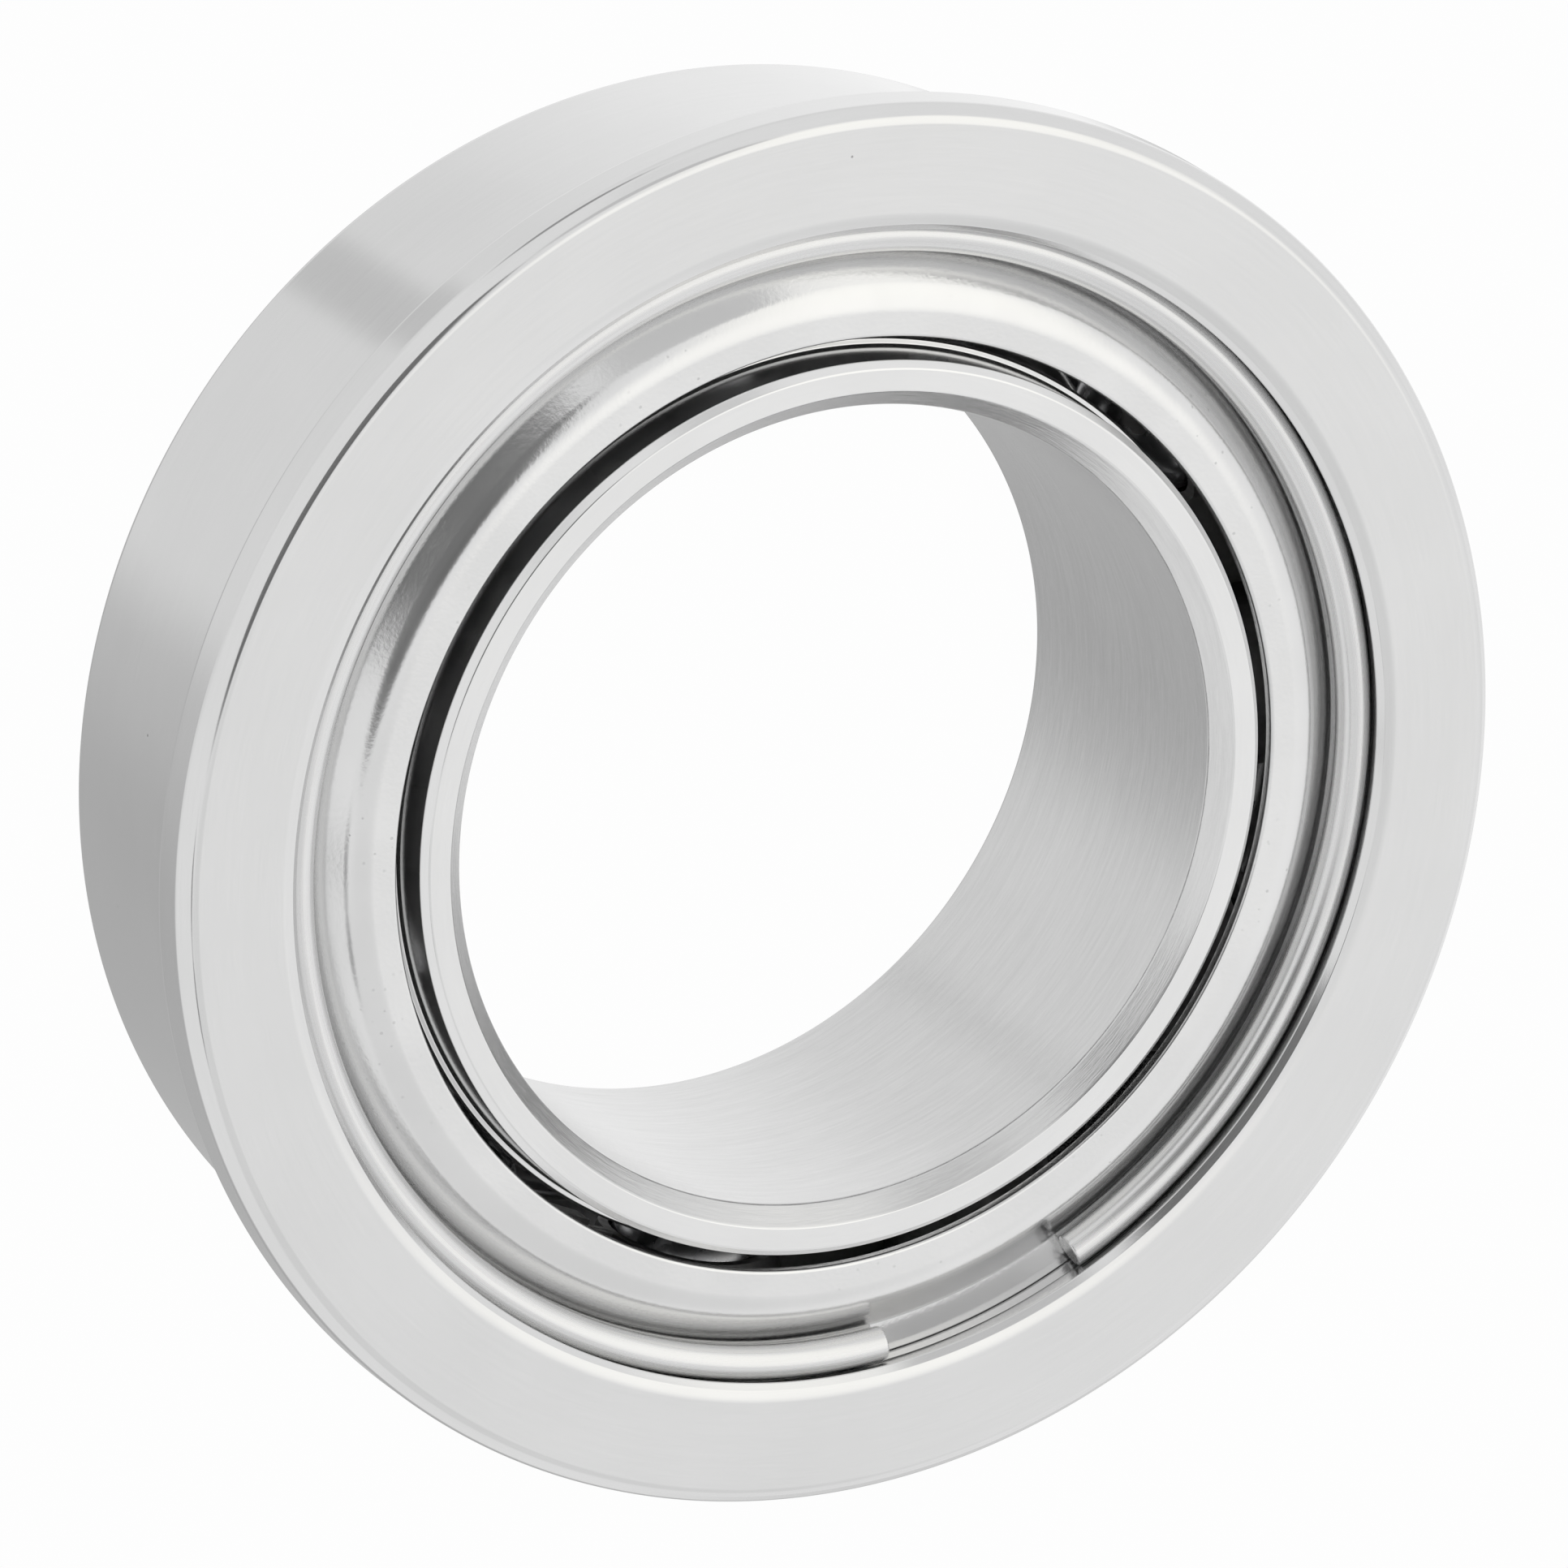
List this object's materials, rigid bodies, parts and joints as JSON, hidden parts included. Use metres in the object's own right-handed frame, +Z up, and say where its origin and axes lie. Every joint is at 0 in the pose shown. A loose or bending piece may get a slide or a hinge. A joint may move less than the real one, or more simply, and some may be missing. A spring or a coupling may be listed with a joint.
{
  "type": "flanged ball bearing",
  "caption": "Flanged miniature deep-groove ball bearing with a shield held by a snap wire on each side; carries a small shaft in a housing bore.",
  "frame": {"origin": "on the bearing's axis, half way across the width of the rings", "axes": "+Y along the bearing's axis, from the flanged front face to the plain rear face; +Z up, as the bearing stands upright"},
  "size_m": [0.0138, 0.004, 0.0138],
  "materials": {
    "ring_steel": "ground and polished stainless steel",
    "shield_steel": "bright cold-rolled stainless sheet",
    "wire_steel": "bright drawn stainless spring wire",
    "ball_steel": "mirror-lapped stainless steel",
    "cage_steel": "pressed stainless ribbon, satin"
  },
  "bodies": {
    "outer": {"outer_ring": "ring_steel", "front_shield": "shield_steel", "rear_shield": "shield_steel", "front_snap_wire": "wire_steel", "rear_snap_wire": "wire_steel"},
    "inner": {"inner_ring": "ring_steel"},
    "cage": {"cage_front_half": "cage_steel", "cage_rear_half": "cage_steel"},
    "ball_01": {"ball_01": "ball_steel"},
    "ball_02": {"ball_02": "ball_steel"},
    "ball_03": {"ball_03": "ball_steel"},
    "ball_04": {"ball_04": "ball_steel"},
    "ball_05": {"ball_05": "ball_steel"},
    "ball_06": {"ball_06": "ball_steel"},
    "ball_07": {"ball_07": "ball_steel"},
    "ball_08": {"ball_08": "ball_steel"},
    "ball_09": {"ball_09": "ball_steel"},
    "ball_10": {"ball_10": "ball_steel"},
    "ball_11": {"ball_11": "ball_steel"}
  },
  "joints": [
    {"name": "inner_ring_spin", "type": "hinge", "parent": "outer", "child": "inner", "pos_m": [0, 0, 0], "axis": [0, 1, 0], "continuous": true},
    {"name": "cage_orbit", "type": "hinge", "parent": "outer", "child": "cage", "pos_m": [0, 0, 0], "axis": [0, 1, 0], "continuous": true},
    {"name": "ball_01_spin", "type": "hinge", "parent": "cage", "child": "ball_01", "pos_m": [0.00516, 0, 0], "axis": [0, 1, 0], "continuous": true},
    {"name": "ball_02_spin", "type": "hinge", "parent": "cage", "child": "ball_02", "pos_m": [0.00434, 0, 0.00279], "axis": [0, 1, 0], "continuous": true},
    {"name": "ball_03_spin", "type": "hinge", "parent": "cage", "child": "ball_03", "pos_m": [0.00214, 0, 0.00469], "axis": [0, 1, 0], "continuous": true},
    {"name": "ball_04_spin", "type": "hinge", "parent": "cage", "child": "ball_04", "pos_m": [-0.00073, 0, 0.00511], "axis": [0, 1, 0], "continuous": true},
    {"name": "ball_05_spin", "type": "hinge", "parent": "cage", "child": "ball_05", "pos_m": [-0.00338, 0, 0.0039], "axis": [0, 1, 0], "continuous": true},
    {"name": "ball_06_spin", "type": "hinge", "parent": "cage", "child": "ball_06", "pos_m": [-0.00495, 0, 0.00145], "axis": [0, 1, 0], "continuous": true},
    {"name": "ball_07_spin", "type": "hinge", "parent": "cage", "child": "ball_07", "pos_m": [-0.00495, 0, -0.00145], "axis": [0, 1, 0], "continuous": true},
    {"name": "ball_08_spin", "type": "hinge", "parent": "cage", "child": "ball_08", "pos_m": [-0.00338, 0, -0.0039], "axis": [0, 1, 0], "continuous": true},
    {"name": "ball_09_spin", "type": "hinge", "parent": "cage", "child": "ball_09", "pos_m": [-0.00073, 0, -0.00511], "axis": [0, 1, 0], "continuous": true},
    {"name": "ball_10_spin", "type": "hinge", "parent": "cage", "child": "ball_10", "pos_m": [0.00214, 0, -0.00469], "axis": [0, 1, 0], "continuous": true},
    {"name": "ball_11_spin", "type": "hinge", "parent": "cage", "child": "ball_11", "pos_m": [0.00434, 0, -0.00279], "axis": [0, 1, 0], "continuous": true}
  ],
  "couplings": [
    {"joint": "cage_orbit", "follows": "inner_ring_spin", "ratio": 0.42308},
    {"joint": "ball_01_spin", "follows": "inner_ring_spin", "ratio": -3.1731},
    {"joint": "ball_02_spin", "follows": "inner_ring_spin", "ratio": -3.1731},
    {"joint": "ball_03_spin", "follows": "inner_ring_spin", "ratio": -3.1731},
    {"joint": "ball_04_spin", "follows": "inner_ring_spin", "ratio": -3.1731},
    {"joint": "ball_05_spin", "follows": "inner_ring_spin", "ratio": -3.1731},
    {"joint": "ball_06_spin", "follows": "inner_ring_spin", "ratio": -3.1731},
    {"joint": "ball_07_spin", "follows": "inner_ring_spin", "ratio": -3.1731},
    {"joint": "ball_08_spin", "follows": "inner_ring_spin", "ratio": -3.1731},
    {"joint": "ball_09_spin", "follows": "inner_ring_spin", "ratio": -3.1731},
    {"joint": "ball_10_spin", "follows": "inner_ring_spin", "ratio": -3.1731},
    {"joint": "ball_11_spin", "follows": "inner_ring_spin", "ratio": -3.1731}
  ]
}
